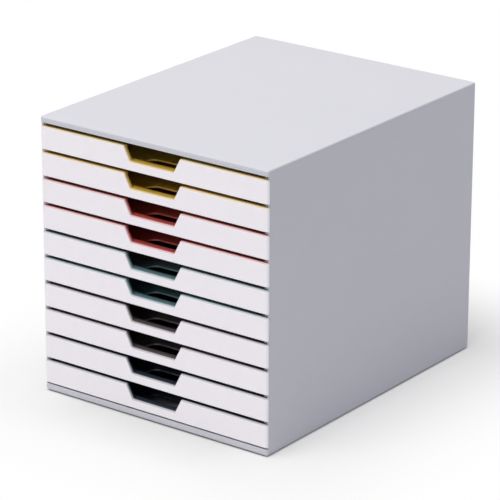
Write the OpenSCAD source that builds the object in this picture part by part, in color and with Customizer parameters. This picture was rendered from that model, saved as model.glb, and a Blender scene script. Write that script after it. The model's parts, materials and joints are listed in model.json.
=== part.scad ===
// Desktop document box with flat drawers that slide out of a one-piece housing.
// Each drawer is a coloured tray with a light front panel staked onto its front wall.
// Frame: the origin is on the desk under the middle of the box, the drawers open
// towards -Y and +Z is up. Drawers are numbered from the top.

/* [Overall] */
// Outer width
body_w = 280; // [240:5:340]
// Outer depth, front panels included
body_d = 356; // [280:4:420]
// Number of drawers
drawers = 10; // [3:1:14]
// Height from one drawer to the next
pitch = 27.65; // [23:0.05:40]

/* [Housing] */
// Wall thickness
wall = 2.6; // [2.2:0.1:3.4]
// Height of the base strip under the lowest front panel, above the desk
base_h = 8; // [5.5:0.5:12]
// Height of the rim above the highest front panel
lid_h = 5.9; // [5:0.1:12]
// Radius of the vertical corners
corner_r = 3; // [3:0.5:8]
// Radius of the edge round the top
top_edge_r = 1.5; // [0.5:0.25:2.5]
// Radius of the edge round the base
base_edge_r = 2.5; // [0.5:0.25:2.75]
// Radius of the two rear corners inside
inner_r = 3; // [1:0.5:5]

/* [Runners] */
// Width of each runner rail
rail_w = 5.2; // [4:0.2:8]
// Thickness of each runner rail
rail_t = 2; // [1.4:0.2:3]
// Width of the keeper rib above each rail
keeper_w = 3.2; // [2:0.2:4]
// Thickness of the keeper rib
keeper_t = 1.4; // [1:0.2:1.8]
// Height of the raised land at the front of each rail
land_h = 0.8; // [0.5:0.1:1.4]
// Length of the raised land
land_len = 10; // [5:1:20]
// Slope at the front of a rail and a keeper rib that leads a flange in
lead_in = 0.7; // [0.3:0.1:0.9]
// Length of tray that stays in the runners when a drawer is out
tray_hold = 95; // [60:5:140]

/* [Front panels] */
// Thickness of a front panel
front_t = 2.4; // [1.8:0.1:2.8]
// Height of the gap between two front panels
front_gap = 3.55; // [2.5:0.05:5]
// Height of the gap under the lowest front panel
base_gap = 1.6; // [0.5:0.1:3]
// Radius of a panel's top edge and of the front edge of its cut-out
panel_top_r = 1.2; // [0.3:0.1:1.4]
// Radius of a panel's bottom edge
panel_low_r = 0.6; // [0.3:0.1:1.6]
// Diameter of the studs that hold a panel
stud_d = 4; // [3:0.5:6]
// Distance from the middle to the inner studs
stud_in_x = 62; // [56:1:75]
// Distance from the middle to the outer studs
stud_out_x = 112; // [90:1:114]

/* [Finger cut-out] */
// Width of the cut-out at its top
notch_top_w = 69; // [60:1:90]
// Width of the cut-out at its bottom
notch_low_w = 53.4; // [40:0.2:58]
// Depth of the cut-out below the panel's top edge
notch_d = 14.9; // [10:0.1:16]
// Radius of the cut-out's lower corners
notch_low_r = 2; // [1:0.5:4]
// Radius of the cut-out's upper corners
notch_top_r = 1.5; // [1.5:0.5:3]
// Depth of the finger ledge at its ends, from the tray's front face
ledge_d = 9.4; // [7:0.1:14]
// Hollow of the ledge's rear edge at the middle
ledge_dip = 2.1; // [0.5:0.1:3]
// Distance that the ledge runs on past the cut-out at each side
ledge_over = 14; // [8:1:18]

/* [Trays] */
// Thickness of a tray's side and rear walls
tray_wall = 1.8; // [1.4:0.1:2.4]
// Thickness of a tray's floor
tray_floor = 1.8; // [1.4:0.1:2.4]
// Thickness of a tray's front wall
tray_front = 2; // [1.6:0.1:2.6]
// Radius of a tray's vertical corners
tray_corner_r = 5; // [3:0.5:8]
// Radius along a tray's bottom edge
tray_edge_r = 2.2; // [1:0.1:2.8]
// Width of the hole in a tray's floor that a finger pushes the sheets up through
push_w = 58; // [30:1:64]
// Depth of that hole, from front to back
push_d = 25; // [20:0.5:30]
// Corner radius of that hole
push_r = 9; // [2:0.5:9.5]
// Strip of floor between that hole and the finger ledge
push_land = 1.5; // [1:0.5:4]
// Thickness of a tray's side flanges
flange_t = 1.6; // [1.2:0.1:2]
// Radius of a flange's rear corner
flange_r = 3; // [1:0.5:4]
// Depth of the thickened rim inside the front wall's top edge
bead_d = 1.1; // [0.5:0.1:2]
// Height of the thickened rim
bead_h = 2.4; // [1.5:0.1:4]
// Space behind a closed tray
tray_back_gap = 5; // [2:0.5:15]

/* [Feet] */
// Diameter of a foot pad
foot_d = 14; // [10:1:20]
// Height of a foot pad that shows under the base
foot_h = 1; // [0.5:0.1:2]
// Depth of the recess that holds a foot pad
foot_recess = 1.2; // [0.6:0.1:1.4]
// Distance from the box's side to the middle of a foot
foot_in_x = 25; // [20:1:50]
// Distance from the box's front or back to the middle of a foot
foot_in_y = 28; // [20:1:60]

/* [Clearances] */
// Running clearance above and below a flange
run_gap = 0.3; // [0.2:0.05:0.5]
// Sideways clearance of a tray
side_gap = 0.6; // [0.3:0.05:1]
// Clearance of a foot or a stud in its hole
fit_gap = 0.15; // [0.1:0.05:0.3]
// Space between a closed panel and the side walls behind it
panel_gap = 0.3; // [0.2:0.05:0.6]

/* [Hidden] */
$fn = 64;
// Depth by which a rounding disc crosses the edges that it joins
eps = 0.01;
// Over-reach of a cut past the faces that it opens
over = 1;

// Heights
front_h = pitch - front_gap;
tray_lift = 0.5;
tray_h = front_h - tray_lift;
body_h = base_h + base_gap + drawers * pitch + lid_h;

// Widths, as distances from the middle plane
side_x = body_w / 2;
inner_x = side_x - wall;
rail_x = inner_x - rail_w;
flange_x = inner_x - side_gap;
tray_x = rail_x - side_gap;

// Depths
front_y = -body_d / 2;
panel_y = front_y + front_t;
shell_y = panel_y + panel_gap;
inner_y = body_d / 2 - wall;
tray_back_y = inner_y - tray_back_gap;
stop_y = tray_back_y - tray_hold;
stop_len = 4;
skid_len = 8;

// Finger cut-out: half its widths, the lean of its side edges from upright, and the
// turn from an edge to the next one
low_x = notch_low_w / 2;
top_x = notch_top_w / 2;
lean = atan2(top_x - low_x, notch_d);
turn = 90 - lean;

// Finger ledge
ledge_z = tray_h - notch_d;
ledge_x = low_x + ledge_over;
ledge_wall = 1.6;
ledge_corner_r = 3;
ledge_arc_r = (ledge_x * ledge_x + ledge_dip * ledge_dip) / (2 * ledge_dip);

// Stake heads on the studs
stake_d = stud_d * 1.5;
stake_h = 1;

tray_colours = ["goldenrod", "indianred", "cadetblue", "dimgray", "darkslategray"];

// Height of the lower edge of front panel k
function front_z(k) = base_h + base_gap + (drawers - k) * pitch;

// Colours go in pairs from the top
function tray_colour(k) = tray_colours[floor((k - 1) / 2) % len(tray_colours)];

// Quarter of a disc in the corner where both axes are positive
module quarter_disc(r) {
    intersection() {
        circle(r);
        square(r);
    }
}

// Section of a block's rim: a strip r wide whose outer corners are rounded
module rim_section(r, h, top_r, low_r) {
    translate([0, low_r]) square([r, h - top_r - low_r]);
    square([r - low_r, h / 2]);
    translate([0, h / 2]) square([r - top_r, h / 2]);
    translate([r - low_r, low_r]) mirror([0, 1]) quarter_disc(low_r);
    translate([r - top_r, h - top_r]) quarter_disc(top_r);
}

// Block with round vertical corners of radius r and rounded top and bottom edges,
// made by carrying one rim section round the plan
module round_block(w, d, h, r, top_r, low_r) {
    translate([r - w / 2, r - d / 2, 0]) cube([w - 2 * r, d - 2 * r, h]);
    for (q = [0:3]) {
        across = q % 2 == 0 ? w : d;
        along = q % 2 == 0 ? d : w;
        rotate(90 * q) translate([across / 2 - r, along / 2 - r, 0]) {
            rotate_extrude(angle = 90) rim_section(r, h, top_r, low_r);
            rotate([90, 0, 0]) linear_extrude(along - 2 * r) rim_section(r, h, top_r, low_r);
        }
    }
}

// Block between two depths y0 and y1, centred on the middle plane
module block_between(w, y0, y1, h, r, top_r, low_r) {
    translate([0, (y0 + y1) / 2, 0]) round_block(w, y1 - y0, h, r, top_r, low_r);
}

// Both sides of the middle plane
module both_sides() {
    children();
    mirror([1, 0, 0]) children();
}

// ---------------------------------------------------------------- housing

// A rib along the right side wall: w wide, with this outline seen from the side
module side_rib(w, outline) {
    translate([inner_x - w, 0, 0]) rotate([90, 0, 90]) linear_extrude(w + wall / 2) polygon(outline);
}

// One level of runners: a rail with a raised land at its front, whose rear end stops
// the drawer, and a keeper rib that stops the flange from lifting. z is the top of
// the drawer's flange.
module runner_level(z) {
    land_z = z - flange_t - run_gap;
    rail_z = land_z - land_h;
    land_y = shell_y + land_len;
    keeper_z = z + run_gap;
    rear_y = inner_y + wall / 2;
    both_sides() {
        side_rib(rail_w, [
            [shell_y, rail_z - rail_t], [rear_y, rail_z - rail_t], [rear_y, rail_z], [land_y, rail_z],
            [land_y, land_z], [shell_y + 2 * lead_in, land_z], [shell_y, land_z - lead_in]
        ]);
        side_rib(keeper_w, [
            [shell_y, keeper_z + lead_in], [shell_y + 2 * lead_in, keeper_z], [rear_y, keeper_z],
            [rear_y, keeper_z + keeper_t], [shell_y, keeper_z + keeper_t]
        ]);
    }
}

module foot_places() {
    for (x = [foot_in_x - side_x, side_x - foot_in_x], y = [front_y + foot_in_y, -front_y - foot_in_y])
        translate([x, y, 0]) children();
}

// Plan of the space inside: square in front and round at the two rear corners
module inside_plan() {
    translate([-inner_x, front_y + wall]) square([2 * inner_x, inner_y - inner_r - front_y - wall]);
    translate([inner_r - inner_x, 0]) square([2 * (inner_x - inner_r), inner_y]);
    for (x = [inner_r - inner_x, inner_x - inner_r]) translate([x, inner_y - inner_r]) circle(inner_r);
}

module housing_shell() {
    difference() {
        translate([0, 0, foot_h])
            round_block(body_w, body_d, body_h - foot_h, corner_r, top_edge_r, base_edge_r);
        translate([0, 0, foot_h + wall]) linear_extrude(body_h - foot_h - 2 * wall) inside_plan();
        translate([-side_x - over, front_y - over, base_h])
            cube([body_w + 2 * over, front_t + panel_gap + over, body_h - base_h - lid_h]);
        foot_places() translate([0, 0, foot_h - over])
            cylinder(d = foot_d + 2 * fit_gap, h = foot_recess + over);
    }
}

module housing() {
    color("lightgray") {
        housing_shell();
        for (k = [1:drawers]) runner_level(front_z(k) + front_h);
    }
}

// ---------------------------------------------------------------- drawers

// Both lower or both upper corners of the cut-out, in a plan whose y is height above
// the cut-out's bottom edge. The origin moves to the centre of the corner's disc, which
// lies eps nearer to both edges than its radius.
module low_corners() {
    r = notch_low_r - eps;
    both_sides() translate([low_x - r * tan(turn / 2), r, 0]) children();
}

module top_corners() {
    r = notch_top_r - eps;
    both_sides() translate([top_x + r * tan(turn / 2), notch_d - r, 0]) rotate(180) children();
}

// Kite round a corner, between the lines from the disc's centre square to both edges
module corner_kite(r) {
    polygon([[0, 0], [0, -r], [r * tan(turn / 2), -r], [r * cos(lean), -r * sin(lean)]]);
}

// Outline of the cut-out: a trapezoid that is filled out in its two lower corners and
// opened at its two upper ones
module notch_outline() {
    difference() {
        polygon([
            [-low_x, 0], [low_x, 0], [top_x, notch_d], [top_x, notch_d + over],
            [-top_x, notch_d + over], [-top_x, notch_d]
        ]);
        low_corners() difference() {
            corner_kite(notch_low_r + over);
            circle(notch_low_r);
        }
    }
    top_corners() difference() {
        corner_kite(notch_top_r + over);
        circle(notch_top_r);
    }
}

// Stands a shape drawn in plan up, so that its height becomes depth
module stand_up() {
    mirror([0, 1, 0]) rotate([90, 0, 0]) children();
}

module notch_cut(y0, y1) {
    translate([0, y0, 0]) stand_up() linear_extrude(y1 - y0) notch_outline();
}

// Section of the open space at a panel's edge: open for x < 0, out to reach, and a
// quarter-round off the panel's front edge. y is the depth behind the panel's face.
module edge_section(reach) {
    difference() {
        union() {
            translate([-reach, -over]) square([reach, front_t + 2 * over]);
            translate([-reach, -over]) square([reach + panel_top_r, panel_top_r + over]);
        }
        translate([panel_top_r, panel_top_r]) circle(panel_top_r);
    }
}

// Open space above a straight edge that runs along x, centred on the origin
module edge_space() {
    length = 2 * notch_top_w;
    translate([-length / 2, 0, 0]) mirror([0, 1, 0]) rotate([90, 0, 90])
        linear_extrude(length) edge_section(length);
}

// The cut-out with its front edge rounded: the space that lies above its bottom edge
// and inside both side edges
module notch_space() {
    intersection() {
        edge_space();
        translate([low_x, 0, 0]) rotate(turn) edge_space();
        mirror([1, 0, 0]) translate([low_x, 0, 0]) rotate(turn) edge_space();
    }
}

// What the panel keeps in the lower corners of that space
module low_corner_fill() {
    low_corners() difference() {
        linear_extrude(front_t) corner_kite(notch_low_r + panel_top_r + over);
        rotate_extrude() translate([notch_low_r, 0]) edge_section(notch_low_r);
    }
}

// What comes off the panel round the upper corners
module top_corner_waste() {
    top_corners() difference() {
        translate([0, 0, -over]) linear_extrude(front_t + 2 * over) corner_kite(notch_top_r + over);
        rotate_extrude() {
            translate([0, panel_top_r]) square([notch_top_r, front_t + over]);
            square([notch_top_r - panel_top_r, front_t]);
            translate([notch_top_r - panel_top_r, panel_top_r]) mirror([0, 1]) quarter_disc(panel_top_r);
        }
    }
}

module stud_places(z) {
    for (x = [-stud_out_x, -stud_in_x, stud_in_x, stud_out_x])
        translate([x, panel_y, z]) rotate([-90, 0, 0]) children();
}

// Height of the studs above the tray's underside
function stud_z() = tray_h / 2;

// Plan of the finger ledge: straight ends and a shallow hollow rear edge
module ledge_plan(inset) {
    r = ledge_corner_r - inset;
    half = ledge_x - inset;
    depth = ledge_d - inset;
    difference() {
        union() {
            translate([-half, 0]) square([2 * half, depth - r]);
            translate([r - half, 0]) square([2 * (half - r), depth]);
            for (x = [r - half, half - r]) translate([x, depth - r]) circle(r);
        }
        translate([0, ledge_d - ledge_dip - inset + ledge_arc_r]) circle(ledge_arc_r, $fn = 256);
    }
}

// Plan of the hole behind the ledge that a finger pushes the sheets up through
module push_plan() {
    half = push_w / 2;
    translate([-half, push_r]) square([push_w, push_d - 2 * push_r]);
    translate([push_r - half, 0]) square([push_w - 2 * push_r, push_d]);
    for (x = [push_r - half, half - push_r], y = [push_r, push_d - push_r]) translate([x, y]) circle(push_r);
}

module tray_body() {
    difference() {
        union() {
            difference() {
                block_between(2 * tray_x, panel_y, tray_back_y, tray_h + tray_edge_r,
                    tray_corner_r, tray_edge_r / 2, tray_edge_r);
                translate([0, 0, tray_floor])
                    block_between(2 * (tray_x - tray_wall), panel_y + tray_front, tray_back_y - tray_wall,
                        tray_h + 2 * tray_edge_r, tray_corner_r - tray_wall, tray_wall / 2, tray_wall);
            }
            translate([0, panel_y, 0]) linear_extrude(ledge_z) ledge_plan(0);
            translate([tray_wall - tray_x, panel_y + tray_front / 2, tray_h - bead_h])
                cube([2 * (tray_x - tray_wall), tray_front / 2 + bead_d, bead_h]);
        }
        translate([-side_x, front_y, tray_h]) cube([body_w, body_d, 2 * tray_edge_r + over]);
        translate([0, 0, ledge_z]) notch_cut(front_y, panel_y + tray_front + bead_d + over);
        translate([0, panel_y, -over]) linear_extrude(ledge_z - ledge_wall + over) intersection() {
            ledge_plan(ledge_wall);
            translate([-side_x, tray_front]) square([body_w, ledge_d]);
        }
        translate([0, panel_y + ledge_d + push_land, -over])
            linear_extrude(tray_floor + 2 * over) push_plan();
        stud_places(stud_z()) translate([0, 0, -over])
            cylinder(d = stud_d + 2 * fit_gap, h = tray_front + bead_d + 2 * over);
    }
}

// Plan of the right flange, from inside the tray's wall outwards
module flange_plan() {
    root_x = tray_x - tray_wall / 2;
    rear_y = tray_back_y - tray_corner_r;
    translate([root_x, panel_y]) square([flange_x - root_x, rear_y - flange_r - panel_y]);
    translate([root_x, panel_y]) square([flange_x - flange_r - root_x, rear_y - panel_y]);
    translate([flange_x - flange_r, rear_y - flange_r]) circle(flange_r);
}

// Side flanges with a stop nub and a rear skid under each
module tray_flanges() {
    nub_x = rail_x + fit_gap;
    nub_w = flange_x - fit_gap - nub_x;
    skid_y = tray_back_y - tray_corner_r - flange_r - skid_len;
    both_sides() {
        translate([0, 0, tray_h - flange_t]) linear_extrude(flange_t) flange_plan();
        for (nub = [[stop_y - stop_len, stop_len], [skid_y, skid_len]])
            translate([nub_x, nub[0], tray_h - flange_t - land_h])
                cube([nub_w, nub[1], land_h + flange_t / 2]);
    }
}

module drawer_tray(k) {
    color(tray_colour(k)) translate([0, 0, front_z(k) + tray_lift]) {
        tray_body();
        tray_flanges();
    }
}

// Front panel: a slice off the front of a rounded block, with the cut-out and the
// studs whose heads are staked over behind the tray's front wall
module drawer_front(k) {
    blank_d = 2 * corner_r + front_t;
    color("whitesmoke") translate([0, 0, front_z(k)]) {
        difference() {
            union() {
                difference() {
                    block_between(body_w, front_y, front_y + blank_d, front_h,
                        corner_r, panel_top_r, panel_low_r);
                    translate([-side_x - over, panel_y, -over])
                        cube([body_w + 2 * over, blank_d, front_h + 2 * over]);
                    translate([0, front_y, front_h - notch_d]) stand_up() notch_space();
                }
                translate([0, front_y, front_h - notch_d]) stand_up() low_corner_fill();
            }
            translate([0, front_y, front_h - notch_d]) stand_up() top_corner_waste();
        }
        stud_places(stud_z() + tray_lift) {
            translate([0, 0, -front_t / 2]) cylinder(d = stud_d, h = front_t / 2 + tray_front + stake_h);
            translate([0, 0, tray_front + fit_gap]) cylinder(d1 = stake_d, d2 = stud_d, h = stake_h);
        }
    }
}

// ---------------------------------------------------------------- feet

module feet() {
    pad_r = foot_d / 2;
    edge = 0.4;
    pad_h = foot_h + foot_recess;
    color("dimgray") foot_places() rotate_extrude()
        polygon([[0, 0], [pad_r - edge, 0], [pad_r, edge], [pad_r, pad_h], [0, pad_h]]);
}

housing();
feet();
for (k = [1:drawers]) {
    drawer_tray(k);
    drawer_front(k);
}
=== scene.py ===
"""Looks for a desktop drawer box: a grey plastic housing with ten shallow drawers, each a
coloured tray behind a white front panel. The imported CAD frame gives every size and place."""
import json
import math

import bpy
import numpy as np
from bpy.props import FloatProperty, FloatVectorProperty, PointerProperty
from mathutils import Matrix, Vector

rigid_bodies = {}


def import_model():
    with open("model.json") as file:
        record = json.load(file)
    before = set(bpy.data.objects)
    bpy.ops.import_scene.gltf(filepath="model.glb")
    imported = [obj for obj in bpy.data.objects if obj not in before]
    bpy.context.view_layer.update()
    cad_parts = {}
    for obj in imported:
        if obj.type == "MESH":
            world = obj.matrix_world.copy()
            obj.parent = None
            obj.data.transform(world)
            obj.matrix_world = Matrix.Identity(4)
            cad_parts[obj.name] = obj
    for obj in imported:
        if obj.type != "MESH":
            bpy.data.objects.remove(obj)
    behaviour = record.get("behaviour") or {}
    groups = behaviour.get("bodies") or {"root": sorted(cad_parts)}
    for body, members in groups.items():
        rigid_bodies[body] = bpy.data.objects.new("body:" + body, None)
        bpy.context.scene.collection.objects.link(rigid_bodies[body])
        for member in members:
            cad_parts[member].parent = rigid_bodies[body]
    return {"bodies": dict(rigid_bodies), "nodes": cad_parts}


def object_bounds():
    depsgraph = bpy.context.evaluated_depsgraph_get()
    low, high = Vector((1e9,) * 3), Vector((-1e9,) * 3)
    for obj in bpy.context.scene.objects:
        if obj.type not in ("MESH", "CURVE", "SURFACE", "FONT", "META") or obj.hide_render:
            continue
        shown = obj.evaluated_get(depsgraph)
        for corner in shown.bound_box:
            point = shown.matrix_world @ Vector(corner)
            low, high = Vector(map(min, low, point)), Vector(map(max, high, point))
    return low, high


bl_info = {
    "name": "Desktop Drawer Box",
    "version": (1, 0, 0),
    "blender": (4, 5, 0),
    "location": "View3D > Sidebar > Drawer Box",
    "description": "Dresses the frame of a desktop drawer box in moulded plastic and sets it in a studio",
    "category": "Object",
}

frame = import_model()
CAD_BOX = [list(corner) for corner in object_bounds()]
NODES = frame["nodes"]
DRAWERS = sum(1 for body in frame["bodies"] if body.startswith("drawer_"))
TRAY_COLOURS = ("mustard", "coral", "petrol", "brown_grey", "navy")

GRAIN_DEPTH = 0.000012  # depth of the satin grain, in metres
DUST_COLOUR = (0.72, 0.70, 0.67, 1)
LAMP_TARGET = (0, 0, 0.15)  # the middle of the box, where the lamps look
FLOOR_HALF = 8.0  # half of the floor's side
VEIL_REACH = 0.2  # distance from the box at which the floor is wholly white to the camera
SHADE_REACH = 0.09  # distance in front of the box over which the floor's painted shadow fades


def srgb(red, green, blue):
    """Linear colour of three 0 to 255 screen values: ((share + 0.055) / 1.055) to the power 2.4."""
    return tuple(float(((v / 255 + 0.055) / 1.055) ** 2.4) for v in (red, green, blue))


def tray_colour(drawer):
    """Name of a tray's colour: the colours go in pairs from the top drawer down."""
    return TRAY_COLOURS[(drawer - 1) // 2 % len(TRAY_COLOURS)]


# ------------------------------------------------------------------ properties


def colour_property(name, description, default):
    """A linear colour that a user can change."""
    return FloatVectorProperty(
        name=name, description=description, subtype="COLOR", size=3, min=0, max=1, default=default)


def power_property(name, description, default):
    """A lamp's power that a user can change."""
    return FloatProperty(name=name, description=description, default=default, min=0, unit="POWER")


class DrawerBoxColours(bpy.types.PropertyGroup):
    """Plastic colours of the box."""

    housing: colour_property("Housing", "Colour of the grey housing", srgb(197, 198, 206))
    front: colour_property("Fronts", "Colour of the front panels", srgb(240, 237, 243))
    mustard: colour_property("Mustard trays", "Colour of the first pair of trays", srgb(207, 171, 62))
    coral: colour_property("Coral trays", "Colour of the second pair of trays", srgb(185, 75, 71))
    petrol: colour_property("Petrol trays", "Colour of the third pair of trays", srgb(92, 128, 135))
    brown_grey: colour_property("Brown grey trays", "Colour of the fourth pair of trays", srgb(92, 84, 86))
    navy: colour_property("Navy trays", "Colour of the fifth pair of trays", srgb(42, 52, 68))
    foot: colour_property("Feet", "Colour of the rubber feet", srgb(62, 62, 64))


class DrawerBoxFinish(bpy.types.PropertyGroup):
    """Surface finish of the mouldings, and the share of painted tray bounce on the white fronts."""

    grain: FloatProperty(
        name="Grain size", description="Size of the mould's fine satin grain",
        default=0.00035, min=0.0001, max=0.002, unit="LENGTH")
    roughness: FloatProperty(
        name="Roughness", description="Mean roughness of the satin plastic",
        default=0.34, min=0.05, max=1.0, subtype="FACTOR")
    edge: FloatProperty(
        name="Edge radius", description="Radius that the light sees on a moulded edge",
        default=0.0005, min=0.0, max=0.002, unit="LENGTH")
    # Painted bounce light: share of a tray's colour painted on the upward faces of its white front.
    painted_tray_bounce: FloatProperty(
        name="Glow", description="Share of a tray's colour in the upper edges of its white panel",
        default=0.45, min=0.0, max=1.0, subtype="FACTOR")


class DrawerBoxStudio(bpy.types.PropertyGroup):
    """Camera, lamps and floor."""

    lens: FloatProperty(
        name="Lens", description="Focal length on a 36 mm sensor",
        default=219.93, min=20, max=400, unit="CAMERA")
    azimuth: FloatProperty(
        name="Azimuth", description="Turn of the camera round the box",
        default=math.radians(36.743), subtype="ANGLE")
    elevation: FloatProperty(
        name="Elevation", description="Height of the camera as an angle",
        default=math.radians(20.239), subtype="ANGLE")
    roll: FloatProperty(
        name="Roll", description="Lean of the camera about its own axis",
        default=math.radians(0.1905), subtype="ANGLE")
    offset: FloatVectorProperty(
        name="Offset", description="Place of the box's origin seen from the camera: right, up and ahead",
        default=(0.011085, -0.122457, 3.159223), size=3, unit="LENGTH")
    key: power_property("Key lamp", "Power of the overhead softbox", 412)
    fill: power_property("Front fill", "Power of the front fill", 2)
    side: power_property("Side fill", "Power of the side fill", 3.2)
    sky: FloatProperty(name="Sky", description="Strength of the room's even light", default=0.34, min=0)
    floor: colour_property("Floor", "Colour of the floor", (0.72, 0.72, 0.73))
    haze: FloatProperty(
        name="Haze", description="Share of plain white that the camera sees over the floor beside the box",
        default=0.4, min=0, max=1, subtype="FACTOR")
    shade: FloatProperty(
        name="Shade", description="Share by which the floor darkens right in front of the box",
        default=0.34, min=0, max=1, subtype="FACTOR")


# ------------------------------------------------------------------ shader node groups


class Tree:
    """A short way to write a node tree."""

    def __init__(self, tree):
        self.tree = tree

    def feed(self, node, inputs):
        """Sets a node's inputs: a socket is linked and anything else is its value."""
        for key, value in inputs.items():
            if isinstance(value, bpy.types.NodeSocket):
                self.tree.links.new(value, node.inputs[key])
            else:
                node.inputs[key].default_value = value
        return node

    def add(self, kind, inputs=None, **settings):
        """A new node with its settings and inputs."""
        node = self.tree.nodes.new("ShaderNode" + kind)
        for key, value in settings.items():
            setattr(node, key, value)
        return self.feed(node, inputs or {})

    def maths(self, operation, *values):
        """Result of one Math node."""
        return self.add("Math", dict(enumerate(values)), operation=operation).outputs[0]

    def ramp(self, value, low, high):
        """0 where value is at low, 1 where it is at high, and even between."""
        return self.add("MapRange", {"Value": value, "From Min": low, "From Max": high}).outputs[0]

    def noise(self, vector, scale, detail):
        """Noise about 0.5."""
        return self.add("TexNoise", {"Vector": vector, "Scale": scale, "Detail": detail}).outputs[0]

    def mix(self, factor, first, second):
        """One colour laid over another by a factor."""
        return self.add("Mix", {0: factor, 6: first, 7: second}, data_type="RGBA").outputs[2]

    def up(self):
        """How far the surface faces up: 1 on a level top and 0 on a wall."""
        return self.add("SeparateXYZ", {0: self.add("NewGeometry").outputs["Normal"]}).outputs["Z"]

    def seen(self):
        """1 for the rays of the camera, of mirrors and of glass, and 0 for the light's own rays."""
        path = self.add("LightPath").outputs
        direct = self.maths("MAXIMUM", path["Is Camera Ray"], path["Is Transmission Ray"])
        return self.maths("MAXIMUM", direct, path["Is Glossy Ray"])

    def group(self, name, inputs):
        """A shared group, made the first time it is asked for, with this material's own values."""
        shared = bpy.data.node_groups.get(name) or GROUP_MAKERS[name](name)
        return self.feed(self.add("Group", node_tree=shared), inputs).outputs


def new_group(name, inputs, outputs):
    """An empty node group: its Tree, the sockets of its inputs, and its output node."""
    kinds = {"value": "NodeSocketFloat", "colour": "NodeSocketColor", "vector": "NodeSocketVector"}
    tree = bpy.data.node_groups.new(name, "ShaderNodeTree")
    for label, kind, default in inputs:
        tree.interface.new_socket(label, in_out="INPUT", socket_type=kinds[kind]).default_value = default
    for label, kind in outputs:
        tree.interface.new_socket(label, in_out="OUTPUT", socket_type=kinds[kind])
    return Tree(tree), tree.nodes.new("NodeGroupInput").outputs, tree.nodes.new("NodeGroupOutput")


def satin_grain(name):
    """The mould's fine grain with a faint orange peel under it, as a height, and the roughness
    that wanders slowly over the piece."""
    tree, given, out = new_group(
        name,
        [("Vector", "vector", (0, 0, 0)), ("Size", "value", 0.0004), ("Roughness", "value", 0.35),
         ("Variation", "value", 0.1)],
        [("Height", "value"), ("Roughness", "value")])
    fine = tree.noise(given["Vector"], tree.maths("DIVIDE", 1.0, given["Size"]), 2.0)
    peel = tree.noise(given["Vector"], 140.0, 1.0)
    swing = tree.maths("SUBTRACT", tree.noise(given["Vector"], 9.0, 3.0), 0.5)
    tree.feed(out, {
        "Height": tree.maths("MULTIPLY_ADD", peel, 2.5, fine),
        "Roughness": tree.maths("MULTIPLY_ADD", swing, given["Variation"], given["Roughness"])})
    return tree.tree


def flow_tone(name):
    """A moulding's colour, a little lighter and darker in broad clouds and in faint streaks along
    the way that the plastic flowed."""
    tree, given, out = new_group(
        name,
        [("Vector", "vector", (0, 0, 0)), ("Colour", "colour", (0.5, 0.5, 0.5, 1)),
         ("Amount", "value", 0.04)],
        [("Colour", "colour")])
    cloud = tree.noise(given["Vector"], 11.0, 2.0)
    along = tree.add("Mapping", {"Vector": given["Vector"], "Scale": (9.0, 60.0, 160.0)}).outputs[0]
    both = tree.maths("MULTIPLY_ADD", tree.noise(along, 1.0, 3.0), 0.5, cloud)
    factor = tree.maths("MULTIPLY_ADD", tree.maths("SUBTRACT", both, 0.75), given["Amount"], 1.0)
    toned = tree.add("VectorMath", {0: given["Colour"], "Scale": factor}, operation="SCALE")
    tree.feed(out, {"Colour": toned.outputs[0]})
    return tree.tree


def soft_edges(name):
    """The small round on every moulded edge: the normal turned over a short radius, and a mask
    that is 1 where it turns most."""
    tree, given, out = new_group(
        name, [("Radius", "value", 0.0005)], [("Normal", "vector"), ("Edge", "value")])
    rounded = tree.add("Bevel", {"Radius": given["Radius"]}, samples=6).outputs[0]
    flat = tree.add("NewGeometry").outputs["Normal"]
    agree = tree.add("VectorMath", {0: rounded, 1: flat}, operation="DOT_PRODUCT").outputs["Value"]
    tree.feed(out, {"Normal": rounded, "Edge": tree.ramp(agree, 0.97, 0.72)})
    return tree.tree


def handling(name):
    """Marks of use: fine short scuffs in patches, and soft dust in clouds on what faces up."""
    tree, given, out = new_group(
        name,
        [("Vector", "vector", (0, 0, 0)), ("Amount", "value", 0.5)],
        [("Scuffs", "value"), ("Dust", "value")])
    lean = tree.add("Mapping", {
        "Vector": given["Vector"], "Rotation": (0.3, 0.5, 0.7), "Scale": (60.0, 900.0, 900.0)}).outputs[0]
    thin = tree.ramp(tree.noise(lean, 1.0, 2.0), 0.66, 0.74)
    patch = tree.ramp(tree.noise(given["Vector"], 35.0, 2.0), 0.52, 0.68)
    settled = tree.maths(
        "MULTIPLY", tree.ramp(tree.up(), 0.4, 1.0), tree.noise(given["Vector"], 26.0, 5.0))
    tree.feed(out, {
        "Scuffs": tree.maths("MULTIPLY", tree.maths("MULTIPLY", thin, patch), given["Amount"]),
        "Dust": tree.maths("MULTIPLY", settled, given["Amount"])})
    return tree.tree


GROUP_MAKERS = {
    "satin_grain": satin_grain, "flow_tone": flow_tone, "soft_edges": soft_edges, "handling": handling}


# ------------------------------------------------------------------ materials


def new_material(name):
    """A material with nodes: itself, its Tree, its shader and the Object coordinates in it."""
    material = bpy.data.materials.new(name)
    material.use_nodes = True
    tree = Tree(material.node_tree)
    place = tree.add("TexCoord").outputs["Object"]
    return material, tree, material.node_tree.nodes["Principled BSDF"], place


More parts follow.
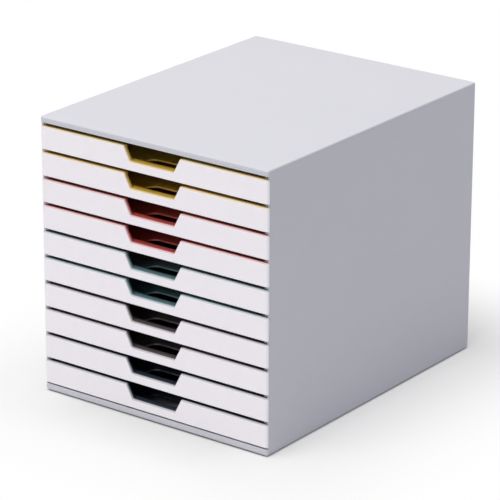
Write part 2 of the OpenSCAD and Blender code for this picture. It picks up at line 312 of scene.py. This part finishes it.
def moulded_plastic(name, colour, finish, worn=0.4, tone=0.04, edge_wear_and_highlight=0.12, painted_tray_bounce=None):
    """Satin injection-moulded plastic: toned colour, fine grain, soft edges and light handling.
    Its edges are paler, partly as wear and partly as a painted highlight. Where the plastic
    faces up, the optional tray colour and its share are painted on as the tray's bounce light."""
    material, tree, shader, place = new_material(name)
    toned = tree.group("flow_tone", {"Vector": place, "Colour": (*colour, 1), "Amount": tone})["Colour"]
    grained = tree.group("satin_grain", {
        "Vector": place, "Size": finish.grain, "Roughness": finish.roughness, "Variation": 0.12})
    marks = tree.group("handling", {"Vector": place, "Amount": worn})
    rounded = tree.group("soft_edges", {"Radius": finish.edge})
    bump = tree.add("Bump", {
        "Height": grained["Height"], "Distance": GRAIN_DEPTH, "Strength": 0.6,
        "Normal": rounded["Normal"]})
    dusty = tree.mix(tree.maths("MULTIPLY", marks["Dust"], 0.06), toned, DUST_COLOUR)
    # Paler edges: partly edge wear, partly a painted highlight along the rounded edge.
    pale = tuple(0.5 + 0.5 * c for c in colour)
    lit = tree.mix(tree.maths("MULTIPLY", rounded["Edge"], edge_wear_and_highlight), dusty, (*pale, 1))
    # Painted bounce light: the tray's colour laid on the faces that look up.
    if painted_tray_bounce:
        behind, share = painted_tray_bounce
        lit = tree.mix(tree.maths("MULTIPLY", tree.ramp(tree.up(), 0.0, 0.4), share), lit, (*behind, 1))
    rough = tree.maths("MULTIPLY_ADD", marks["Scuffs"], 0.15, grained["Roughness"])
    rough = tree.maths("MULTIPLY_ADD", marks["Dust"], 0.1, rough)
    tree.feed(shader, {"Base Color": lit, "Roughness": rough, "Normal": bump.outputs[0], "IOR": 1.55})
    return material


def rubber(name, colour):
    """Dull rubber with a coarse matt grain."""
    material, tree, shader, place = new_material(name)
    toned = tree.group("flow_tone", {"Vector": place, "Colour": (*colour, 1), "Amount": 0.25})["Colour"]
    grained = tree.group("satin_grain", {
        "Vector": place, "Size": 0.0006, "Roughness": 0.75, "Variation": 0.2})
    bump = tree.add("Bump", {"Height": grained["Height"], "Distance": 0.00004, "Strength": 0.8})
    tree.feed(shader, {
        "Base Color": toned, "Roughness": grained["Roughness"], "Normal": bump.outputs[0], "IOR": 1.5})
    return material


def finish_node(name, material):
    """Puts a material in every slot of a CAD node."""
    for slot in NODES[name].material_slots:
        slot.material = material


# ------------------------------------------------------------------ operators


class DRAWERBOX_OT_housing(bpy.types.Operator):
    """Give the housing its grey satin plastic"""

    bl_idname = "drawerbox.housing"
    bl_label = "Housing"

    def execute(self, context):
        colours, finish = context.scene.drawer_box_colours, context.scene.drawer_box_finish
        finish_node("housing", moulded_plastic("housing_plastic", colours.housing, finish, worn=0.5))
        return {"FINISHED"}


class DRAWERBOX_OT_trays(bpy.types.Operator):
    """Give each pair of trays its own coloured plastic"""

    bl_idname = "drawerbox.trays"
    bl_label = "Trays"

    def execute(self, context):
        colours, finish = context.scene.drawer_box_colours, context.scene.drawer_box_finish
        plastics = {}
        for name in TRAY_COLOURS:
            plastics[name] = moulded_plastic(
                f"tray_{name}_plastic", getattr(colours, name), finish, tone=0.08, edge_wear_and_highlight=0.04)
        for drawer in range(1, DRAWERS + 1):
            finish_node(f"drawer_{drawer}_tray", plastics[tray_colour(drawer)])
        return {"FINISHED"}


class DRAWERBOX_OT_fronts(bpy.types.Operator):
    """Give the front panels their white plastic, with their tray's colour painted on the upward faces as
    bounce light, most for a light tray
    """

    bl_idname = "drawerbox.fronts"
    bl_label = "Front panels"

    def execute(self, context):
        colours, finish = context.scene.drawer_box_colours, context.scene.drawer_box_finish
        whites = {}
        for name in TRAY_COLOURS:
            # A lighter tray gets a larger share of painted bounce light on its front.
            behind = getattr(colours, name)
            painted_tray_bounce = behind, min(1.0, finish.painted_tray_bounce * (1 + behind[1]))
            whites[name] = moulded_plastic(
                f"front_with_painted_bounce_from_{name}_plastic", colours.front, finish, tone=0.02, worn=0.3, painted_tray_bounce=painted_tray_bounce)
        for drawer in range(1, DRAWERS + 1):
            finish_node(f"drawer_{drawer}_front", whites[tray_colour(drawer)])
        return {"FINISHED"}


class DRAWERBOX_OT_feet(bpy.types.Operator):
    """Give the feet their rubber"""

    bl_idname = "drawerbox.feet"
    bl_label = "Feet"

    def execute(self, context):
        finish_node("feet", rubber("foot_rubber", context.scene.drawer_box_colours.foot))
        return {"FINISHED"}


def area_lamp(name, place, size, power, colour=(1, 1, 1)):
    """A square softbox that looks at the middle of the box."""
    lamp = bpy.data.lights.new(name, "AREA")
    lamp.size, lamp.energy, lamp.color = size, power, colour
    holder = bpy.data.objects.new(name, lamp)
    bpy.context.scene.collection.objects.link(holder)
    holder.location = place
    holder.rotation_euler = (Vector(LAMP_TARGET) - Vector(place)).to_track_quat("-Z", "Y").to_euler()


def floor_sheet(name, half, steps):
    """A level sheet on a grid of u and v from -1 to 1, with x = half u and y = half v."""
    u, v = np.meshgrid(np.linspace(-1, 1, steps), np.linspace(-1, 1, steps), indexing="ij")
    points = np.stack([half * u, half * v, np.zeros_like(u)], axis=-1).reshape(-1, 3)
    number = np.arange(steps * steps).reshape(steps, steps)
    corners = number[:-1, :-1], number[1:, :-1], number[1:, 1:], number[:-1, 1:]
    faces = np.stack(corners, axis=-1).reshape(-1, 4)
    mesh = bpy.data.meshes.new(name)
    mesh.from_pydata(points, [], faces)
    sheet = bpy.data.objects.new(name, mesh)
    bpy.context.scene.collection.objects.link(sheet)
    return sheet


class DRAWERBOX_OT_stage(bpy.types.Operator):
    """Make the floor, the lamps, the room and the camera"""

    bl_idname = "drawerbox.stage"
    bl_label = "Stage"

    def execute(self, context):
        studio = context.scene.drawer_box_studio
        self.camera(context, studio)
        self.room(context, studio)
        floor = floor_sheet("floor", FLOOR_HALF, 9)
        floor.data.materials.append(self.floor_material(studio))
        area_lamp("key_softbox", (-0.4, -2.35, 6.05), 4.7, studio.key, (1.0, 0.985, 0.97))
        area_lamp("front_fill", (-0.8, -2.9, 0.5), 1.2, studio.fill)
        area_lamp("side_fill", (2.9, 0.2, 0.6), 1.2, studio.side, (0.3, 0.38, 1.0))
        context.scene.view_settings.view_transform = "Standard"
        return {"FINISHED"}

    def camera(self, context, studio):
        """The camera's axes: back along the azimuth and elevation, level right, up across both,
        and right and up then turned by the roll."""
        turn, lift = studio.azimuth, studio.elevation
        back = Vector((math.sin(turn) * math.cos(lift), -math.cos(turn) * math.cos(lift), math.sin(lift)))
        level = Vector((math.cos(turn), math.sin(turn), 0))
        upright = back.cross(level)
        cos_roll, sin_roll = math.cos(studio.roll), math.sin(studio.roll)
        right = cos_roll * level + sin_roll * upright
        up = cos_roll * upright - sin_roll * level
        across, above, ahead = studio.offset
        place = -across * right - above * up + ahead * back
        data = bpy.data.cameras.new("camera")
        data.sensor_width, data.lens = 36.0, studio.lens
        camera = bpy.data.objects.new("camera", data)
        context.scene.collection.objects.link(camera)
        camera.matrix_world = Matrix.Translation(place) @ Matrix((right, up, back)).transposed().to_4x4()
        context.scene.camera = camera

    def room(self, context, studio):
        """An even pale room. The camera, mirrors and glass see it white."""
        world = bpy.data.worlds.new("room")
        world.use_nodes = True
        tree = Tree(world.node_tree)
        shader = world.node_tree.nodes["Background"]
        strength = tree.add("MapRange", {
            "Value": tree.seen(), "To Min": studio.sky, "To Max": 1.0}).outputs[0]
        tree.feed(shader, {"Color": (1, 1, 1, 1), "Strength": strength})
        context.scene.world = world

    def floor_material(self, studio):
        """A pale floor that keeps the box's shadow. The camera, mirrors and glass see plain
        white laid over it: none under the box, a thin veil beside it, and wholly white from
        VEIL_REACH away. A point's distance is the length of max(|x| - half width, 0) and
        max(|y| - half depth, 0). In front of the box a painted shadow darkens the floor's
        colour, for the camera twice as much as for the light that it throws back."""
        material, tree, shader, place = new_material("floor")
        half = (CAD_BOX[1][0], CAD_BOX[1][1], 0.0)
        spread = tree.add("VectorMath", {0: place}, operation="ABSOLUTE").outputs[0]
        beyond = tree.add("VectorMath", {0: spread, 1: half}, operation="SUBTRACT").outputs[0]
        past = tree.add("SeparateXYZ", {0: beyond}).outputs
        clear = tree.ramp(tree.maths("MAXIMUM", past["X"], past["Y"]), -0.003, 0.001)
        along = tree.add("SeparateXYZ", {0: place}).outputs["Y"]
        # Mask of the painted shadow on the floor in front of the box.
        ahead = tree.maths(
            "MULTIPLY", tree.ramp(along, -half[1] - SHADE_REACH, -half[1]), tree.ramp(past["X"], 0.02, -0.06))
        seen = tree.seen()
        ahead = tree.maths("MULTIPLY", ahead, tree.maths("MULTIPLY_ADD", seen, 0.5, 0.5))
        fleck = tree.maths("SUBTRACT", tree.noise(place, 40.0, 3.0), 0.5)
        rough = tree.maths("MULTIPLY_ADD", fleck, 0.1, 0.6)
        # The floor's colour darkened by the painted shadow.
        painted_shadow_floor = tuple(c * (1 - studio.shade) for c in studio.floor)
        tree.feed(shader, {
            "Base Color": tree.mix(ahead, (*studio.floor, 1), (*painted_shadow_floor, 1)), "Roughness": rough,
            "Specular IOR Level": 0.0})
        beyond = tree.add("VectorMath", {0: beyond, 1: (0, 0, 0)}, operation="MAXIMUM").outputs[0]
        away = tree.add("VectorMath", {0: beyond}, operation="LENGTH").outputs["Value"]
        veil = tree.add("MapRange", {
            "Value": away, "From Min": -0.02, "From Max": VEIL_REACH, "To Min": studio.haze, "To Max": 1.0},
            interpolation_type="SMOOTHSTEP").outputs[0]
        veil = tree.maths("MULTIPLY", veil, clear)
        white = tree.add("Emission", {"Color": (1, 1, 1, 1), "Strength": 1.0})
        both = tree.add("MixShader", {
            0: tree.maths("MULTIPLY", seen, veil), 1: shader.outputs[0], 2: white.outputs[0]})
        tree.feed(material.node_tree.nodes["Material Output"], {"Surface": both.outputs[0]})
        return material


OPERATORS = (
    DRAWERBOX_OT_housing, DRAWERBOX_OT_trays, DRAWERBOX_OT_fronts, DRAWERBOX_OT_feet, DRAWERBOX_OT_stage)


class DRAWERBOX_PT_panel(bpy.types.Panel):
    """Lists the steps that dress the box"""

    bl_idname = "DRAWERBOX_PT_panel"
    bl_label = "Drawer Box"
    bl_space_type = "VIEW_3D"
    bl_region_type = "UI"
    bl_category = "Drawer Box"

    def draw(self, context):
        for step in OPERATORS:
            self.layout.operator(step.bl_idname)
        scene = context.scene
        for group in (scene.drawer_box_colours, scene.drawer_box_finish, scene.drawer_box_studio):
            box = self.layout.box()
            for label in group.__annotations__:
                box.prop(group, label)


CLASSES = (DrawerBoxColours, DrawerBoxFinish, DrawerBoxStudio, *OPERATORS, DRAWERBOX_PT_panel)


def register():
    """Registers the add-on's classes and its settings on the scene."""
    for cls in CLASSES:
        bpy.utils.register_class(cls)
    bpy.types.Scene.drawer_box_colours = PointerProperty(type=DrawerBoxColours)
    bpy.types.Scene.drawer_box_finish = PointerProperty(type=DrawerBoxFinish)
    bpy.types.Scene.drawer_box_studio = PointerProperty(type=DrawerBoxStudio)


def unregister():
    """Takes the settings and classes away again."""
    del bpy.types.Scene.drawer_box_studio
    del bpy.types.Scene.drawer_box_finish
    del bpy.types.Scene.drawer_box_colours
    for cls in reversed(CLASSES):
        bpy.utils.unregister_class(cls)


def main():
    """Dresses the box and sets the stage."""
    register()
    bpy.ops.drawerbox.housing()
    bpy.ops.drawerbox.trays()
    bpy.ops.drawerbox.fronts()
    bpy.ops.drawerbox.feet()
    bpy.ops.drawerbox.stage()


if __name__ == "__main__":
    main()
